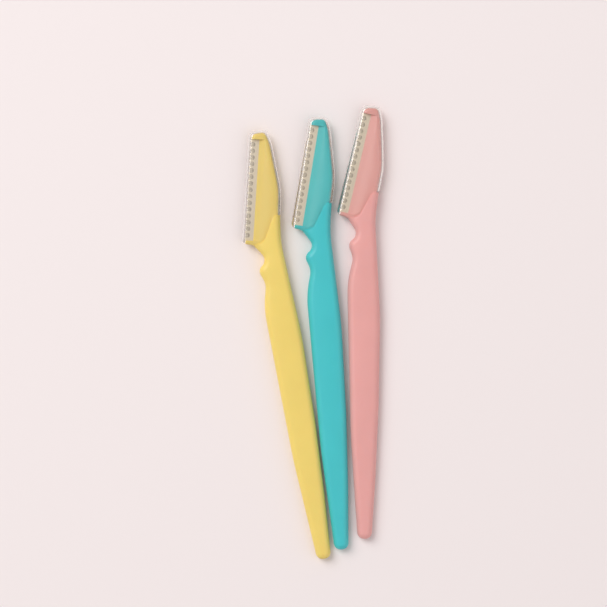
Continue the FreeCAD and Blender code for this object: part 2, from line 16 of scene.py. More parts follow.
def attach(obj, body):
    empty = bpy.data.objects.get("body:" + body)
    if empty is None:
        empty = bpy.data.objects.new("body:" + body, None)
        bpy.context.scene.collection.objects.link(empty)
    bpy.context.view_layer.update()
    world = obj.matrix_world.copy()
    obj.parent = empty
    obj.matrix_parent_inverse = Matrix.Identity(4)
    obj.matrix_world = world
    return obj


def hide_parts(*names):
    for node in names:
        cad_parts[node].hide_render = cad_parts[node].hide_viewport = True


bl_info = {
    "name": "Eyebrow Razors",
    "version": (1, 0, 0),
    "blender": (4, 5, 0),
    "location": "View3D > Sidebar > Razors",
    "description": "Builds the handles, safety covers and clear caps of a set of eyebrow razors",
    "category": "Add Mesh",
}

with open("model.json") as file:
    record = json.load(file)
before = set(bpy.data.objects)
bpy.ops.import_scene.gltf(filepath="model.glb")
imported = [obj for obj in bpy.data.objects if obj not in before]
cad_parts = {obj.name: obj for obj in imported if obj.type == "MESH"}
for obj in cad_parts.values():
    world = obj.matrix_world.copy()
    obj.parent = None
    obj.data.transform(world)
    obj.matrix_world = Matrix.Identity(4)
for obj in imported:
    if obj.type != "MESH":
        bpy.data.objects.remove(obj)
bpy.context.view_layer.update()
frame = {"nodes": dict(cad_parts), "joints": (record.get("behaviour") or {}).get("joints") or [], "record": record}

MM = 0.001
RAZORS = ("yellow", "turquoise", "pink")
# The rest mount of each razor, in the razor's own frame.
REST_ACROSS, REST_ALONG = -0.8, 60.0
# Shares of the grip's length and of its reach at which its long curves bend.
TAPER_HEIGHT_SHARE, TAPER_REACH_SHARE = 0.2, 0.84
WIDE_START_SHARE, WIDE_END_SHARE = 0.42, 0.7
FLANK_HEIGHT_SHARE = 0.32
# How far a chord may leave its arc, and the longest run of an outline.
CHORD_TOLERANCE, LONGEST_RUN = 0.004, 1.6
# Steps of a rounded edge from the side to the face, of an eased edge, an arch and a peg.
EDGE_STEPS, EASE_STEPS, ARCH_STEPS, PEG_STEPS = 8, 3, 14, 24
# Spacing of the points that carry a crowned face.
FACE_SPACING = 1.1
# The kind of filling that keeps the triangles inside a rim, and the distance within which two
# points of it are one.
FILLED_INSIDE, SAME_PLACE = 1, 1e-6
# Least cosine that a sharp corner counts with, so that an inset doesn't throw it far.
LEAST_SPREAD = 0.5
# Faces that meet at more than this angle meet in a sharp edge.
SHARP_ANGLE = math.radians(38)
UP = Vector((0, 0, 1))
# The brushing of the steel: the mean lean of the three cutting edges, and how long its lines are.
BRUSH_ANGLE, BRUSH_STRETCH = math.radians(-8.7), 16
# Smoothest and roughest lines of the brushing, as shares of the sheet's roughness.
SMOOTH_LINES, ROUGH_LINES = 0.75, 1.3
# Darkest and lightest streaks of the plastic, as shares of its colour.
STREAKS = (0.95, 1.04)
# Width of the floor in metres, and how far below the razors it lies in millimetres.
FLOOR_WIDTH, FLOOR_DROP = 3.0, 0.02
# The photograph's frame, in metres across, and the middle of it in the object's frame.
VIEW_WIDTH = 0.1821
VIEW_MIDDLE = Vector((-0.00294, 0.0087, 0.0023))
# Focal length and sensor width of the camera, in millimetres.
LENS, SENSOR = 150.0, 36.0


def linear(code):
    """Scene-linear red, green and blue of an sRGB hex code."""
    channels = (int(code[i:i + 2], 16) / 255 for i in (1, 3, 5))
    return tuple(c / 12.92 if c <= 0.04045 else ((c + 0.055) / 1.055) ** 2.4 for c in channels)


def length(millimetres, name, description):
    """A length that shows in the sidebar."""
    return bpy.props.FloatProperty(name=name, description=description, default=millimetres * MM,
                                   unit="LENGTH", subtype="DISTANCE", precision=5)


def angle(degrees, name, description):
    """An angle that shows in the sidebar."""
    return bpy.props.FloatProperty(name=name, description=description, unit="ROTATION",
                                   default=math.radians(degrees), subtype="ANGLE")


def colour(code, name, description):
    """A colour that shows in the sidebar."""
    return bpy.props.FloatVectorProperty(name=name, description=description, default=linear(code),
                                         subtype="COLOR", size=3, min=0, max=1)


class GripSizes(bpy.types.PropertyGroup):
    """The thick part of the handle, from its tail to the mouth of the cap."""

    grip_length: length(96, "Grip length", "Tail to the mouth of the cap, on the blade side")
    grip_thick: length(4.5, "Thickness", "Thickness of the grip at the mouth")
    tail_thick: length(3.4, "Tail thickness", "Thickness of the tail")
    tail_half: length(2.1, "Tail half width", "Half the width of the tail")
    tail_round: length(2, "Tail corners", "Rounding of the tail's corners")
    spine_reach: length(3.6, "Spine reach", "Axis to the spine where the grip is widest")
    neck_reach: length(1.6, "Neck reach", "Axis to the spine at the neck")
    neck_round: length(40, "Neck curve", "Hollow of the spine at the neck")
    long_round: length(130, "Long curves", "Long curves of the sides")
    taper_round: length(60, "Taper curve", "Curve of the spine near the tail")
    belly_reach: length(6.45, "Belly reach", "Axis to the widest place of the blade side")
    belly_round: length(30, "Belly curve", "Swell of the blade side")
    belly_drop: length(19, "Belly drop", "Mouth down to the swell")
    flank_reach: length(4.7, "Flank reach", "Axis to the blade side where the taper begins")
    edge_round: length(1.8, "Upper rounding", "Rounding of the upper edges")
    base_round: length(0.9, "Lower rounding", "Rounding of the lower edges")
    crown_radius: length(30, "Crown", "Curve of the upper face across the grip")
    crown_shift: length(1.3, "Crown shift", "Top of the crown, off the axis")
    hollow_reach: length(3.3, "Hollow reach", "Axis to the corner of the hollow next to the head")
    hollow_drop: length(4.7, "Hollow drop", "Mouth down to that hollow")
    hollow_round: length(2.4, "Hollow curve", "Curve of that hollow")
    crest_reach: length(6.5, "Crest reach", "Axis to the corner of the crest between the hollows")
    crest_drop: length(7.4, "Crest drop", "Mouth down to the crest")
    crest_round: length(2.2, "Crest curve", "Curve of the crest")
    dip_reach: length(4.75, "Dip reach", "Axis to the corner of the shallow hollow")
    dip_drop: length(11.8, "Dip drop", "Mouth down to the shallow hollow")
    dip_round: length(5, "Dip curve", "Curve of the shallow hollow")


class HeadSizes(bpy.types.PropertyGroup):
    """The mouth line and the thin part of the handle under the cap."""

    heel_reach: length(6.6, "Heel reach", "Axis to the heel of the grip")
    heel_angle: angle(34, "Heel angle", "Angle of the grip's side to the axis at the heel")
    heel_rise: length(0.9, "Heel rise", "Heel up to the corner of the cap on the blade side")
    heel_round: length(2, "Heel rounding", "Rounding of that corner")
    lower_bend_reach: length(3.3, "Lower bend reach", "Axis to the lower bend of the mouth line")
    lower_bend_rise: length(0.7, "Lower bend rise", "Heel up to the lower bend")
    lower_bend_round: length(2, "Lower bend rounding", "Rounding of the lower bend")
    upper_bend_reach: length(0.7, "Upper bend reach", "Axis to the upper bend of the mouth line")
    upper_bend_round: length(1.5, "Upper bend rounding", "Rounding of the upper bend")
    mouth_rise: length(8, "Mouth rise", "Heel up to the mouth line at the spine")
    mouth_reach: length(2.6, "Mouth reach", "Axis to the spine at the mouth line")
    mouth_gap: length(0.3, "Mouth gap", "Grip to the rim of the cap")
    head_thick: length(3, "Head thickness", "Thickness of the head")
    head_round: length(0.9, "Head rounding", "Rounding of the head's edges")
    head_root: length(3, "Head root", "Depth of the head's root in the grip")
    root_reach: length(0.64, "Root reach", "Axis to the spine side of the root")
    bulge_reach: length(3.35, "Bulge reach", "Axis to the spine at its bulge")
    bulge_rise: length(15.5, "Bulge rise", "Mouth up to the bulge")
    bulge_round: length(25, "Bulge curve", "Curve of the bulge")
    brow_reach: length(2.7, "Brow reach", "Axis to the spine below the tip")
    brow_drop: length(3.7, "Brow drop", "Tip down to that place")
    brow_round: length(10, "Brow curve", "Curve of the spine there")
    tip_half: length(1.9, "Tip corner", "Axis to the tip's corner on the spine side")
    tip_round: length(1.5, "Tip rounding", "Corners of the tip")
    tip_land: length(1.4, "Tip land", "End of the cutting edge up to the tip")
    land_inset: length(0.15, "Land inset", "Cutting edge back to the plastic at its ends")
    land_drop: length(0.9, "Land drop", "Heel of the edge down to the end of that plastic")
    lip_thick: length(1.1, "Lips", "Thickness across the lips that hold the blade")
    lip_bevel: length(1.75, "Lip slope", "Width of the slope from the lips to full thickness")
    lip_round: length(0.15, "Lip rounding", "Rounding of the lips")
    mouth_round: length(0.12, "Step rounding", "Rounding of the step at the mouth line")


class SteelSizes(bpy.types.PropertyGroup):
    """The blade's place and the folded safety cover."""

    edge_reach: length(8.95, "Edge reach", "Axis to the cutting edge at its heel")
    edge_rise: length(2.1, "Edge rise", "Mouth up to the heel of the cutting edge")
    edge_angle: angle(12.3, "Edge angle", "Angle of the cutting edge to the axis")
    blade_length: length(30.4, "Edge length", "Length of the cutting edge")
    blade_width: length(4.3, "Blade width", "Cutting edge to the back of the blade")
    blade_thick: length(0.2, "Blade thickness", "Thickness of the blade")
    exposed_width: length(2.45, "Exposed width", "Cutting edge to the lips")
    seat_gap: length(0.02, "Seat gap", "Clearance of the steel in its seats")
    peg_width: length(0.9, "Peg thickness", "Thickness of the pegs through the blade")
    peg_inset: length(3.55, "Peg inset", "Cutting edge to the middle of the pegs")
    peg_margin: length(4, "Peg margin", "End of the blade to the nearest peg")
    cover_sheet: length(0.15, "Cover sheet", "Thickness of the safety cover")
    cover_flank: length(2.95, "Cover flank", "Cutting edge to the rim of the cover")
    fold_reach: length(0.22, "Fold reach", "Cutting edge out to the outside of the fold")
    window_width: length(1.35, "Window width", "Width of a window")
    window_reach: length(1.35, "Window reach", "Cutting edge to the top of a window's arch")
    arch_rise: length(0.6, "Arch rise", "Springing of the arch up to its top")
    window_margin: length(0.875, "Window margin", "End of the edge to the first window")
    window_count: bpy.props.IntProperty(
        name="Windows", description="Number of windows", default=15, min=1)


class CapSizes(bpy.types.PropertyGroup):
    """The clear cap."""

    cap_thick: length(4.6, "Thickness", "Thickness of the cap")
    cap_wall: length(0.55, "Wall", "Wall of the cap")
    cap_gap: length(0.25, "Gap", "Head to the inside of the cap")
    cap_round: length(1.5, "Rounding", "Rounding of the cap's edges")
    cap_core_round: length(0.95, "Inside rounding", "Rounding of the hollow's edges")
    cap_tip_round: length(2.1, "Tip corners", "Corners of the cap's tip")
    cap_core_tip_round: length(1.5, "Inside tip corners", "The same corners of the hollow")
    cap_proud: length(0.2, "Proud", "Cap beyond the grip at the spine")
    rim_round: length(0.22, "Rim rounding", "Rounding of the cap's rim")
    overrun: length(3, "Overrun", "Length by which a cut runs past what it cuts")


class Finishes(bpy.types.PropertyGroup):
    """Colours of the mouldings, the steel and the floor."""

    yellow: colour("#F2D573", "Yellow", "Pale yellow moulding")
    turquoise: colour("#45C4C9", "Turquoise", "Turquoise moulding")
    pink: colour("#E9A7A2", "Pink", "Salmon pink moulding")
    clear: colour("#FAF9F7", "Clear", "Faint tint of the clear cap")
    steel: colour("#E9DCCA", "Steel", "Stainless steel")
    floor: colour("#F4E9E8", "Floor", "Pale floor")


SETTINGS = (GripSizes, HeadSizes, SteelSizes, CapSizes, Finishes)


def sizes_in_mm(scene):
    """Every size of the sidebar in one place, lengths in millimetres."""
    found = {}
    for group in SETTINGS[:-1]:
        holder = getattr(scene, group.__name__.lower())
        for name in group.__annotations__:
            value = getattr(holder, name)
            is_length = group.bl_rna.properties[name].unit == "LENGTH"
            found[name] = value / MM if is_length else value
    return SimpleNamespace(**found)


def mouth_top(size):
    """Height of the mouth line at the spine."""
    return size.grip_length + size.mouth_rise


def edge_heel(size):
    """Height of the cutting edge's heel."""
    return size.grip_length + size.edge_rise


def tip(size):
    """Height of the head's tip."""
    return edge_heel(size) + size.blade_length * math.cos(size.edge_angle) + size.tip_land


def edge_line(size, inset, along):
    """Where a line parallel to the cutting edge, and inset from it, meets a height."""
    climb = (along - edge_heel(size)) * math.tan(size.edge_angle)
    return climb - size.edge_reach + inset / math.cos(size.edge_angle)


def grip_corners(size):
    """Outline of the grip, on past the mouth line. A row is across, along and the rounding."""
    beyond = mouth_top(size) + size.overrun
    heel_side = -(size.heel_reach + size.overrun * math.tan(size.heel_angle))
    return (
        (size.tail_half, 0, size.tail_round),
        (TAPER_REACH_SHARE * size.spine_reach, TAPER_HEIGHT_SHARE * size.grip_length,
         size.taper_round),
        (size.spine_reach, WIDE_START_SHARE * size.grip_length, size.long_round),
        (size.spine_reach, WIDE_END_SHARE * size.grip_length, size.long_round),
        (size.neck_reach, size.grip_length, size.neck_round),
        (size.mouth_reach, mouth_top(size), 0),
        (size.mouth_reach, beyond, 0),
        (heel_side, beyond, 0),
        (heel_side, size.grip_length + size.overrun, 0),
        (-size.hollow_reach, size.grip_length - size.hollow_drop, size.hollow_round),
        (-size.crest_reach, size.grip_length - size.crest_drop, size.crest_round),
        (-size.dip_reach, size.grip_length - size.dip_drop, size.dip_round),
        (-size.belly_reach, size.grip_length - size.belly_drop, size.belly_round),
        (-size.flank_reach, FLANK_HEIGHT_SHARE * size.grip_length, size.long_round),
        (-size.tail_half, 0, size.tail_round),
    )


def mouth_line(size, lift):
    """The mouth line from the spine to the heel, lifted towards the tip."""
    base = size.grip_length + lift
    return (
        (size.spine_reach + size.overrun, mouth_top(size) + lift, 0),
        (size.upper_bend_reach, mouth_top(size) + lift, size.upper_bend_round),
        (-size.lower_bend_reach, base + size.lower_bend_rise, size.lower_bend_round),
        (-size.heel_reach, base, 0),
    )


def above_mouth(size):
    """What lies beyond the mouth line, to cut from the grip."""
    outside, far = -(size.heel_reach + size.overrun), mouth_top(size) + 2 * size.overrun
    rows = mouth_line(size, 0) + (
        (outside, size.grip_length + size.heel_rise, 0),
        (outside, far, 0),
        (size.spine_reach + size.overrun, far, 0),
    )
    return rows[::-1]


def below_mouth(size):
    """What lies below the cap's rim, to cut from the cap, with the cap's corner rounded."""
    corner = size.grip_length + size.mouth_gap + size.heel_rise
    high, low = edge_heel(size) + size.overrun, size.grip_length - 2 * size.overrun
    side = -(size.fold_reach + size.cap_gap + size.cap_wall + size.seat_gap)
    outside = -(size.edge_reach + 2 * size.overrun)
    return mouth_line(size, size.mouth_gap) + (
        (edge_line(size, side, corner), corner, size.heel_round),
        (edge_line(size, side, high), high, 0),
        (outside, high, 0),
        (outside, low, 0),
        (size.spine_reach + size.overrun, low, 0),
    )


def head_corners(size):
    """Outline of the head, from its root in the grip up the spine and back along the edge."""
    inset, drop = size.land_inset, size.land_drop
    cosine, sine = math.cos(size.edge_angle), math.sin(size.edge_angle)
    root = size.grip_length - size.head_root
    skin = size.cap_gap + size.cap_wall
    return (
        (size.root_reach, root, 0),
        (size.mouth_reach + size.cap_proud - skin, mouth_top(size), 0),
        (size.bulge_reach, size.grip_length + size.bulge_rise, size.bulge_round),
        (size.brow_reach, tip(size) - size.brow_drop, size.brow_round),
        (size.tip_half, tip(size), size.tip_round),
        (edge_line(size, inset, tip(size)), tip(size), size.tip_round),
        (inset * cosine - drop * sine - size.edge_reach,
         edge_heel(size) - inset * sine - drop * cosine, 0),
        (size.mouth_gap - size.heel_reach, size.grip_length, 0),
        (-size.hollow_reach, root, 0),
    )


def cap_corners(size, skin, tip_round):
    """Outline of the cap, a skin outside the head, on past the mouth line."""
    low, top = size.grip_length - size.overrun, tip(size) + skin
    outside = -(size.fold_reach + skin)
    spine = size.mouth_reach + size.cap_proud - size.cap_gap - size.cap_wall + skin
    return (
        (spine, low, 0),
        (spine, mouth_top(size), 0),
        (size.bulge_reach + skin, size.grip_length + size.bulge_rise, size.bulge_round),
        (size.brow_reach + skin, tip(size) - size.brow_drop, size.brow_round),
        (size.tip_half + skin, top, tip_round),
        (edge_line(size, outside, top), top, tip_round),
        (edge_line(size, outside, low), low, 0),
    )


def corner_points(before, corner, after, radius):
    """Points along the arc that rounds a corner, or the corner itself."""
    if not radius:
        return [corner]
    to_before, to_after = (before - corner).normalized(), (after - corner).normalized()
    half_angle = to_before.angle(to_after) / 2
    centre = corner + (to_before + to_after).normalized() * (radius / math.sin(half_angle))
    start = corner + to_before * (radius / math.tan(half_angle))
    turn = math.pi - 2 * half_angle
    steps = max(2, math.ceil(turn / (2 * math.acos(1 - CHORD_TOLERANCE / radius))))
    sign = math.copysign(1, to_before.cross(to_after))
    spoke = start - centre
    return [centre + Matrix.Rotation(-sign * turn * i / steps, 2) @ spoke for i in range(steps + 1)]


def outline(corners):
    """Points of a closed outline with rounded corners, against the clock, in short runs."""
    places = [Vector(row[:2]) for row in corners]
    bends = zip(places[-1:] + places, places, places[1:] + places[:1], corners)
    around = [p for before, here, after, row in bends
              for p in corner_points(before, here, after, row[2])]
    points = []
    for here, after in zip(around, around[1:] + around[:1]):
        runs = max(1, math.ceil((after - here).length / LONGEST_RUN))
        points += [here.lerp(after, i / runs) for i in range(runs)]
    return points


def inset_points(points, inset):
    """The outline moved inwards by a small inset."""
    moved = []
    for before, here, after in zip(points[-1:] + points, points, points[1:] + points[:1]):
        into, out = (here - before).normalized(), (after - here).normalized()
        inwards = Vector((-into.y - out.y, into.x + out.x)).normalized()
        spread = max(LEAST_SPREAD, inwards.dot(Vector((-into.y, into.x))))
        moved.append(here + inwards * (inset / spread))
    return moved


def fill(rim, holes=(), lines=(), inside=()):
    """Triangles that fill a rim, less its holes, through further lines and points."""
    loops = [rim, *holes]
    points = [p for loop in loops for p in loop]
    faces, start = [], 0
    for loop in loops:
        faces.append(list(range(start, start + len(loop))))
        start += len(loop)
    edges = []
    for line in lines:
        edges.append((len(points), len(points) + 1))
        points += line
    points += inside
    spots, _, triangles, _, _, origins = delaunay_2d_cdt(
        points, edges, faces, FILLED_INSIDE, SAME_PLACE)
    # A triangle in a hole belongs to two loops, and one to keep belongs to the rim alone.
    kept = [t for t, origin in zip(triangles, origins) if list(origin) == [0]]
    return spots, kept


def points_inside(rim, spacing):
    """A grid of points inside a rim, clear of it by half the spacing."""
    low_x, high_x = min(p.x for p in rim), max(p.x for p in rim)
    low_y, high_y = min(p.y for p in rim), max(p.y for p in rim)
    found = []
    rows = max(1, round((high_y - low_y) / spacing))
    for row in range(1, rows):
        y = low_y + (high_y - low_y) * row / rows
        crossings = sorted(
            a.x + (b.x - a.x) * (y - a.y) / (b.y - a.y)
            for a, b in zip(rim, rim[1:] + rim[:1]) if (a.y <= y) != (b.y <= y))
        for left, right in zip(crossings[::2], crossings[1::2]):
            count = max(1, round((right - left) / spacing))
            found += [Vector((left + (right - left) * i / count, y)) for i in range(1, count)]
    return found


def slab(points, floor, roof, low_round=0, high_round=0, spacing=0):
    """A closed solid over an outline, its edges rounded. The roof gives the height at a place."""
    turns = [math.pi / 2 * i / EDGE_STEPS for i in range(EDGE_STEPS + 1)]
    low = [(low_round, t) for t in reversed(turns)] if low_round else [(0, 0)]
    high = [(high_round, t) for t in turns] if high_round else [(0, 0)]
    vertices, faces = [], []
    for radius, turn in low:
        ring = inset_points(points, radius * (1 - math.cos(turn)))
        vertices += [(p.x, p.y, floor + radius * (1 - math.sin(turn))) for p in ring]
    for radius, turn in high:
        ring = inset_points(points, radius * (1 - math.cos(turn)))
        vertices += [(p.x, p.y, roof(p.x, p.y) - radius * (1 - math.sin(turn))) for p in ring]
    count = len(points)
    for row in range(len(low) + len(high) - 1):
        for i in range(count):
            here, beside = row * count + i, row * count + (i + 1) % count
            faces.append((here, beside, beside + count, here + count))
    for first, height, way in ((0, lambda x, y: floor, -1), (len(vertices) - count, roof, 1)):
        rim = [Vector(vertices[first + i][:2]) for i in range(count)]
        inside = points_inside(rim, spacing) if spacing and way > 0 else ()
        spots, triangles = fill(rim, inside=inside)
        index = {i: first + i for i in range(count)}
        for i in range(count, len(spots)):
            index[i] = len(vertices)
            vertices.append((*spots[i], height(*spots[i])))
        faces += [tuple(index[i] for i in t[::way]) for t in triangles]
    mesh = bpy.data.meshes.new("slab")
    mesh.from_pydata(vertices, [], faces)
    mesh.update()
    return mesh


def level(height):
    """A roof of one height."""
    return lambda x, y: height


def prism(corners, floor, top):
    """A plain upright solid over an outline."""
    return slab([Vector(c[:2]) for c in corners], floor, level(top))


def modified(mesh, kind, **settings):
    """The mesh that a modifier makes of this one."""
    piece = bpy.data.objects.new("piece", mesh)
    bpy.context.scene.collection.objects.link(piece)
    modifier = piece.modifiers.new("step", kind)
    for name, value in settings.items():
        setattr(modifier, name, value)
    evaluated = piece.evaluated_get(bpy.context.evaluated_depsgraph_get())
    result = bpy.data.meshes.new_from_object(evaluated)
    bpy.data.objects.remove(piece)
    return result


def ease(mesh, radius):
    """Round the sharp edges of a solid a little."""
    return modified(mesh, "BEVEL", width=radius, segments=EASE_STEPS, angle_limit=SHARP_ANGLE)


def combine(mesh, other, operation):
    """The union of two solids, or their difference. Both meshes are used up."""
    tool = bpy.data.objects.new("tool", other)
    bpy.context.scene.collection.objects.link(tool)
    result = modified(mesh, "BOOLEAN", operation=operation, solver="EXACT", object=tool)
    bpy.data.objects.remove(tool)
    if not result.polygons:
        raise RuntimeError(f"the {operation.lower()} of two solids is empty")
    return result


def cut(mesh, *cutters):
    """A solid less some others."""
    for cutter in cutters:
        mesh = combine(mesh, cutter, "DIFFERENCE")
    return mesh


def along_edge(size):
    """Matrix of the blade's frame: from the heel of the cutting edge, +Y along it."""
    place = Vector((-size.edge_reach, edge_heel(size), size.cap_thick / 2))
    return Matrix.Translation(place) @ Matrix.Rotation(-size.edge_angle, 4, "Z")


def edge_notch(size):
    """What the steel needs cut from the head: the open notch, its slopes and the stepped slot."""
    lip, face = size.lip_thick / 2, size.head_thick / 2
    steepness = (face - lip) / size.lip_bevel
    far, high = size.exposed_width + size.lip_bevel + size.overrun, face + size.overrun * steepness
    blade_half = size.blade_thick / 2 + size.seat_gap
    cover_half = blade_half + size.cover_sheet + size.seat_gap
    upper = (
        (size.blade_width + size.seat_gap, blade_half, 0),
        (size.cover_flank + size.seat_gap, blade_half, 0),
        (size.cover_flank + size.seat_gap, cover_half, 0),
        (size.exposed_width, cover_half, 0),
        (size.exposed_width, lip, size.lip_round),
        (far, high, 0),
        (-size.overrun, high, 0),
    )
    lower = [(inset, -height, radius) for inset, height, radius in reversed(upper)]
    mesh = prism(outline((*lower, *upper)), -size.blade_length, 0)
    # The section is drawn flat, so it is stood upright with its length along the edge.
    mesh.transform(along_edge(size) @ Matrix.Rotation(math.pi / 2, 4, "X"))
    return mesh


def peg(size, along):
    """A peg from lip to lip, through a hole of the blade."""
    radius, into_lips = size.peg_width / 2, size.lip_thick / 4
    half = size.blade_thick / 2 + size.seat_gap + into_lips
    turns = [math.tau * i / PEG_STEPS for i in range(PEG_STEPS)]
    rim = [(size.peg_inset + radius * math.cos(t), along + radius * math.sin(t)) for t in turns]
    mesh = prism(rim, -half, half)
    mesh.transform(along_edge(size))
    return mesh


def handle_mesh(size):
    """The moulding: a crowned grip, and the head with its slot, lips and pegs."""
    def crown(x, y):
        """Height of the upper face: it rises from the tail and curves across the grip."""
        share = min(1, y / (TAPER_HEIGHT_SHARE * size.grip_length))
        off = x + size.crown_shift * share
        slope = (size.grip_thick - size.tail_thick) / size.grip_length
        return size.tail_thick + slope * y - off * off / (2 * size.crown_radius)

    grip = slab(outline(grip_corners(size)), 0, crown, size.base_round, size.edge_round,
                FACE_SPACING)
    top = size.grip_thick + size.overrun
    grip = cut(grip, prism(outline(above_mouth(size)), -size.overrun, top))
    grip = ease(grip, size.mouth_round)
    middle, half = size.cap_thick / 2, size.head_thick / 2
    head = slab(outline(head_corners(size)), middle - half, level(middle + half),
                size.head_round, size.head_round)
    head = cut(head, edge_notch(size))
    for along in (size.peg_margin, size.blade_length - size.peg_margin):
        head = combine(head, peg(size, along), "UNION")
    return combine(grip, head, "UNION")


def cap_mesh(size):
    """The thin clear shell, open along the mouth line."""
    skin = size.cap_gap + size.cap_wall
    shell = slab(outline(cap_corners(size, skin, size.cap_tip_round)), 0, level(size.cap_thick),
                 size.cap_round, size.cap_round)
    mouth = prism(outline(below_mouth(size)), -size.overrun, size.cap_thick + size.overrun)
    core = slab(outline(cap_corners(size, size.cap_gap, size.cap_core_tip_round)), size.cap_wall,
                level(size.cap_thick - size.cap_wall), size.cap_core_round, size.cap_core_round)
    return ease(cut(shell, mouth, core), size.rim_round)


def cover_mesh(size):
    """The sheet, cut flat with its row of windows and then folded over the cutting edge."""
    bend = size.blade_thick / 2 + size.seat_gap + size.cover_sheet / 2
    centre = bend + size.cover_sheet / 2 - size.fold_reach
    quarter = math.pi / 2 * bend
    rim_reach = quarter + size.cover_flank - centre
    arch_top = quarter + size.window_reach - centre
    spring = arch_top - size.arch_rise
    end = size.blade_length - size.seat_gap
    rim = [Vector(p) for p in ((-rim_reach, size.seat_gap), (rim_reach, size.seat_gap),
                               (rim_reach, end), (-rim_reach, end))]
    half = size.window_width / 2
    room = size.blade_length - 2 * size.window_margin - size.window_width
    pitch = room / (size.window_count - 1)
    turns = [math.pi * i / ARCH_STEPS - math.pi / 2 for i in range(ARCH_STEPS + 1)]
    windows = []
    for number in range(size.window_count):
        middle = size.window_margin + half + number * pitch
        # A window runs over the fold, with an arch on each flank.
        windows.append([Vector((way * (spring + size.arch_rise * math.cos(t)),
                                middle + way * half * math.sin(t)))
                        for way in (1, -1) for t in turns])
    rows = [quarter * i / EDGE_STEPS for i in range(-EDGE_STEPS, EDGE_STEPS + 1)]
    lines = [(Vector((row, size.seat_gap)), Vector((row, end))) for row in rows]
    spots, triangles = fill(rim, windows, lines)
    vertices = []
    for spot in spots:
        if abs(spot.x) <= quarter:
            turn = spot.x / bend
            vertices.append((centre - bend * math.cos(turn), spot.y, bend * math.sin(turn)))
        else:
            vertices.append((centre + abs(spot.x) - quarter, spot.y, math.copysign(bend, spot.x)))
    mesh = bpy.data.meshes.new("cover")
    mesh.from_pydata(vertices, [], triangles)
    mesh.transform(along_edge(size))
    return modified(mesh, "SOLIDIFY", thickness=size.cover_sheet, offset=0)


def lie(size, razor):
    """Matrix that lays a razor drawn in its own frame, in millimetres, where it lies."""
    slide = next(j for j in frame["joints"] if j["name"] == f"{razor}_cap_slide")
    rest = next(m for m in frame["record"]["mounts"] if m["name"] == f"{razor}_rest")
    lean = size.edge_angle - math.atan2(slide["axis"][0], slide["axis"][1])
    turned = Matrix.Rotation(lean, 4, "Z")
    tail = Vector(rest["pos_m"]) / MM - turned @ Vector((REST_ACROSS, REST_ALONG, 0))
    return Matrix.Scale(MM, 4) @ Matrix.Translation(tail) @ turned


def lay_down(mesh, name, razor, body, node, material, size):
    """Place a copy of a mesh as the piece that stands for a node."""
    data = mesh.copy()
    data.name = name
    data.transform(lie(size, razor))
    data.materials.clear()
    data.materials.append(material)
    data.polygons.foreach_set("use_smooth", [True] * len(data.polygons))
    data.set_sharp_from_angle(angle=SHARP_ANGLE)
    piece = bpy.data.objects.new(name, data)
    bpy.context.scene.collection.objects.link(piece)
    # Broad faces keep their own normals, so that the shading stays true up to a rounded edge.
    piece.modifiers.new("shading", "WEIGHTED_NORMAL").keep_sharp = True
    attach(piece, body)
    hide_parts(node)
    return piece


def add_node(tree, kind, values=None, links=None, **settings):
    """Add a shader node with its settings, its sockets' values and the links into it."""
    node = tree.nodes.new(kind)
    for name, value in settings.items():
        setattr(node, name, value)
    for socket, value in (values or {}).items():
        node.inputs[socket].default_value = value
    for socket, source in (links or {}).items():
        tree.links.new(source, node.inputs[socket])
    return node


def new_material(name):
    """A material with nodes, emptied, and its output."""
    material = bpy.data.materials.new(name)
    material.use_nodes = True
    material.node_tree.nodes.clear()
    output = add_node(material.node_tree, "ShaderNodeOutputMaterial")
    return material, material.node_tree, output


def waves(millimetres):
    """Scale of a pattern, in repeats per metre, from the size of one repeat."""
    return 1 / (millimetres * MM)


def moulded_polypropylene(name, base):
    """Pastel polypropylene, injection moulded: satin, faintly translucent, a little uneven."""
    material, tree, output = new_material(name)
    place = add_node(tree, "ShaderNodeTexCoord").outputs["Object"]
    # Pigment streaks a few millimetres long give the eye slow drifts of tone.
    streaks = add_node(tree, "ShaderNodeTexNoise", {"Scale": waves(9), "Detail": 2.0},
                       {"Vector": place})
    tones = add_node(tree, "ShaderNodeValToRGB", links={"Fac": streaks.outputs["Fac"]})
    for stop, share in zip(tones.color_ramp.elements, STREAKS):
        stop.color = (*(min(1, c * share) for c in base), 1)
    # The spark-eroded mould leaves a fine grain, drawn at 0.25 mm so that it shows.
    grain = add_node(tree, "ShaderNodeTexNoise", {"Scale": waves(0.25), "Detail": 3.0},
                     {"Vector": place})
    relief = add_node(tree, "ShaderNodeBump", {"Strength": 0.12, "Distance": 0.02 * MM},
                      {"Height": grain.outputs["Fac"]})
    sheen = add_node(tree, "ShaderNodeMapRange", {"To Min": 0.36, "To Max": 0.46},
                     {"Value": streaks.outputs["Fac"]})
    shader = add_node(
        tree, "ShaderNodeBsdfPrincipled",
        {"IOR": 1.49, "Subsurface Weight": 0.25, "Subsurface Scale": 0.8 * MM,
         "Subsurface Radius": (1.0, 0.7, 0.5)},
        {"Base Color": tones.outputs["Color"], "Roughness": sheen.outputs["Result"],
         "Normal": relief.outputs["Normal"]})
    tree.links.new(shader.outputs["BSDF"], output.inputs["Surface"])
    return material


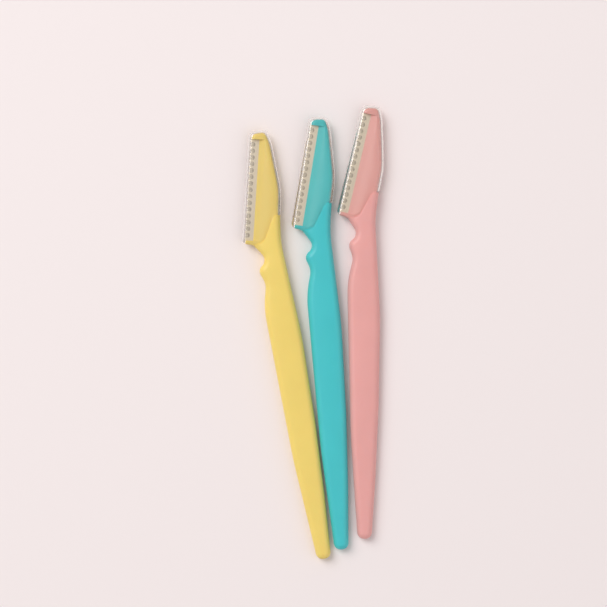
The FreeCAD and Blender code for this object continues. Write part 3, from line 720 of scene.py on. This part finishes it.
def clear_polystyrene(name, tint):
    """Crystal polystyrene, moulded thin and polished: clear, with bright rims."""
    material, tree, output = new_material(name)
    place = add_node(tree, "ShaderNodeTexCoord").outputs["Object"]
    # Thin mouldings ripple a little, which bends what shows through them.
    ripple = add_node(tree, "ShaderNodeTexNoise", {"Scale": waves(6), "Detail": 0.0},
                      {"Vector": place})
    relief = add_node(tree, "ShaderNodeBump", {"Strength": 0.05, "Distance": 0.03 * MM},
                      {"Height": ripple.outputs["Fac"]})
    clear = add_node(
        tree, "ShaderNodeBsdfPrincipled",
        {"Base Color": (*tint, 1), "Roughness": 0.06, "IOR": 1.5, "Transmission Weight": 1.0},
        {"Normal": relief.outputs["Normal"]})
    # Lamplight, scattered light and reflected light pass straight through, so that what lies inside
    # is lit as it is outside.
    passing = add_node(tree, "ShaderNodeBsdfTransparent", {"Color": (*tint, 1)})
    path = add_node(tree, "ShaderNodeLightPath")
    shader = clear.outputs["BSDF"]
    for kind in ("Is Reflection Ray", "Is Diffuse Ray", "Is Shadow Ray"):
        mix = add_node(tree, "ShaderNodeMixShader",
                       links={0: path.outputs[kind], 1: shader, 2: passing.outputs["BSDF"]})
        shader = mix.outputs["Shader"]
    tree.links.new(shader, output.inputs["Surface"])
    return material


def stainless_steel(name, base, brush, rough):
    """Stainless sheet. Its brushing, in lines so many millimetres apart, runs along the edge and
    stretches the highlights."""
    material, tree, output = new_material(name)
    place = add_node(tree, "ShaderNodeTexCoord").outputs["Object"]
    lines = add_node(tree, "ShaderNodeMapping",
                     {"Rotation": (0, 0, BRUSH_ANGLE), "Scale": (1, BRUSH_STRETCH, 1)},
                     {"Vector": place}, vector_type="TEXTURE")
    brushing = add_node(tree, "ShaderNodeTexNoise", {"Scale": waves(brush), "Detail": 4.0},
                        {"Vector": lines.outputs["Vector"]})
    sheen = add_node(tree, "ShaderNodeMapRange",
                     {"To Min": rough * SMOOTH_LINES, "To Max": rough * ROUGH_LINES},
                     {"Value": brushing.outputs["Fac"]})
    relief = add_node(tree, "ShaderNodeBump", {"Strength": 0.06, "Distance": 0.005 * MM},
                      {"Height": brushing.outputs["Fac"]})
    shader = add_node(
        tree, "ShaderNodeBsdfPrincipled",
        {"Base Color": (*base, 1), "Metallic": 1.0},
        {"Roughness": sheen.outputs["Result"], "Normal": relief.outputs["Normal"]})
    tree.links.new(shader.outputs["BSDF"], output.inputs["Surface"])
    return material


def matt_floor(name, base):
    """Pale matt card, with no more than a trace of unevenness."""
    material, tree, output = new_material(name)
    shader = add_node(tree, "ShaderNodeBsdfPrincipled",
                      {"Base Color": (*base, 1), "Roughness": 0.9, "Specular IOR Level": 0.2})
    tree.links.new(shader.outputs["BSDF"], output.inputs["Surface"])
    return material


class RAZORS_OT_handles(bpy.types.Operator):
    """Build the moulded handles"""

    bl_idname = "razors.handles"
    bl_label = "Handles"

    def execute(self, context):
        size, finishes = sizes_in_mm(context.scene), context.scene.finishes
        mesh = handle_mesh(size)
        for razor in RAZORS:
            plastic = moulded_polypropylene(f"{razor}_polypropylene", getattr(finishes, razor))
            lay_down(mesh, f"{razor}_moulding", razor, f"{razor}_razor", f"{razor}_handle",
                     plastic, size)
        return {"FINISHED"}


class RAZORS_OT_covers(bpy.types.Operator):
    """Build the folded safety covers"""

    bl_idname = "razors.covers"
    bl_label = "Safety covers"

    def execute(self, context):
        size, finishes = sizes_in_mm(context.scene), context.scene.finishes
        mesh = cover_mesh(size)
        steel = stainless_steel("stamped_stainless", finishes.steel, brush=0.35, rough=0.5)
        for razor in RAZORS:
            lay_down(mesh, f"{razor}_folded_cover", razor, f"{razor}_razor",
                     f"{razor}_safety_cover", steel, size)
        return {"FINISHED"}


class RAZORS_OT_blades(bpy.types.Operator):
    """Finish the ground blades"""

    bl_idname = "razors.blades"
    bl_label = "Blades"

    def execute(self, context):
        finishes = context.scene.finishes
        steel = stainless_steel("ground_stainless", finishes.steel, brush=0.2, rough=0.25)
        for razor in RAZORS:
            blade = frame["nodes"][f"{razor}_blade"]
            blade.data.materials.clear()
            blade.data.materials.append(steel)
        return {"FINISHED"}


class RAZORS_OT_caps(bpy.types.Operator):
    """Build the clear caps"""

    bl_idname = "razors.caps"
    bl_label = "Clear caps"

    def execute(self, context):
        size, finishes = sizes_in_mm(context.scene), context.scene.finishes
        mesh = cap_mesh(size)
        clear = clear_polystyrene("crystal_polystyrene", finishes.clear)
        for razor in RAZORS:
            lay_down(mesh, f"{razor}_clear_cap", razor, f"{razor}_cap", f"{razor}_cap",
                     clear, size)
        return {"FINISHED"}


class RAZORS_OT_stage(bpy.types.Operator):
    """Set the floor, the light and the camera"""

    bl_idname = "razors.stage"
    bl_label = "Floor, light and camera"

    def execute(self, context):
        scene = context.scene
        add_floor(scene)
        add_world(scene)
        add_lamp(scene, "key", (-0.84, 0.72, 1.2), width=1.08, power=17.9)
        add_lamp(scene, "fill", (1.08, -0.48, 1.08), width=1.44, power=4.6)
        add_camera(scene)
        scene.view_settings.view_transform = "Standard"
        return {"FINISHED"}


def add_floor(scene):
    """A plain pale floor just under the razors."""
    half = FLOOR_WIDTH / 2
    mesh = bpy.data.meshes.new("floor")
    mesh.from_pydata([(-half, -half, 0), (half, -half, 0), (half, half, 0), (-half, half, 0)], [],
                     [(0, 1, 2, 3)])
    mesh.materials.append(matt_floor("matt_floor", scene.finishes.floor))
    floor = bpy.data.objects.new("floor", mesh)
    floor.location.z = -FLOOR_DROP * MM
    scene.collection.objects.link(floor)


def add_world(scene):
    """A soft room, dimmer overhead, so that the clear caps mirror less of it seen from above."""
    world = bpy.data.worlds.new("room")
    world.use_nodes = True
    tree = world.node_tree
    tree.nodes.clear()
    way = add_node(tree, "ShaderNodeTexCoord").outputs["Generated"]
    height = add_node(tree, "ShaderNodeSeparateXYZ", links={"Vector": way}).outputs["Z"]
    shade = add_node(tree, "ShaderNodeMapRange",
                     {"From Min": 0.0, "From Max": 0.7, "To Min": 0.62, "To Max": 0.42},
                     {"Value": height})
    light = add_node(tree, "ShaderNodeBackground", {"Color": (1, 1, 1, 1)},
                     {"Strength": shade.outputs["Result"]})
    output = add_node(tree, "ShaderNodeOutputWorld")
    tree.links.new(light.outputs["Background"], output.inputs["Surface"])
    scene.world = world


def add_lamp(scene, name, place, width, power):
    """A square soft lamp that looks at the razors: its width in metres, its power in watts."""
    data = bpy.data.lights.new(name, "AREA")
    data.shape, data.size, data.energy = "SQUARE", width, power
    lamp = bpy.data.objects.new(name, data)
    lamp.location = place
    lamp.rotation_euler = Vector(place).to_track_quat("Z", "Y").to_euler()
    scene.collection.objects.link(lamp)


def add_camera(scene):
    """A long lens straight above, with the top of the picture towards the caps."""
    data = bpy.data.cameras.new("camera")
    data.lens, data.sensor_width = LENS, SENSOR
    camera = bpy.data.objects.new("camera", data)
    camera.location = VIEW_MIDDLE + UP * (VIEW_WIDTH * LENS / SENSOR)
    scene.collection.objects.link(camera)
    scene.camera = camera


STEPS = (RAZORS_OT_handles, RAZORS_OT_covers, RAZORS_OT_blades, RAZORS_OT_caps, RAZORS_OT_stage)


class RAZORS_PT_sidebar(bpy.types.Panel):
    """Sizes, colours and building steps of the razors"""

    bl_idname = "RAZORS_PT_sidebar"
    bl_label = "Eyebrow Razors"
    bl_space_type = "VIEW_3D"
    bl_region_type = "UI"
    bl_category = "Razors"

    def draw(self, context):
        """A button for each step, then every size and colour."""
        for step in STEPS:
            self.layout.operator(step.bl_idname)
        for group in SETTINGS:
            box = self.layout.box()
            box.label(text=group.__name__)
            for name in group.__annotations__:
                box.prop(getattr(context.scene, group.__name__.lower()), name)


def register():
    """Tell Blender of the sizes, the steps and the panel."""
    for group in SETTINGS:
        bpy.utils.register_class(group)
        setattr(bpy.types.Scene, group.__name__.lower(), bpy.props.PointerProperty(type=group))
    for step in (*STEPS, RAZORS_PT_sidebar):
        bpy.utils.register_class(step)


def unregister():
    """Take them away again."""
    for step in reversed((*STEPS, RAZORS_PT_sidebar)):
        bpy.utils.unregister_class(step)
    for group in reversed(SETTINGS):
        delattr(bpy.types.Scene, group.__name__.lower())
        bpy.utils.unregister_class(group)


def main():
    """Build everything in order."""
    register()
    bpy.ops.razors.handles()
    bpy.ops.razors.covers()
    bpy.ops.razors.blades()
    bpy.ops.razors.caps()
    bpy.ops.razors.stage()


if __name__ == "__main__":
    main()
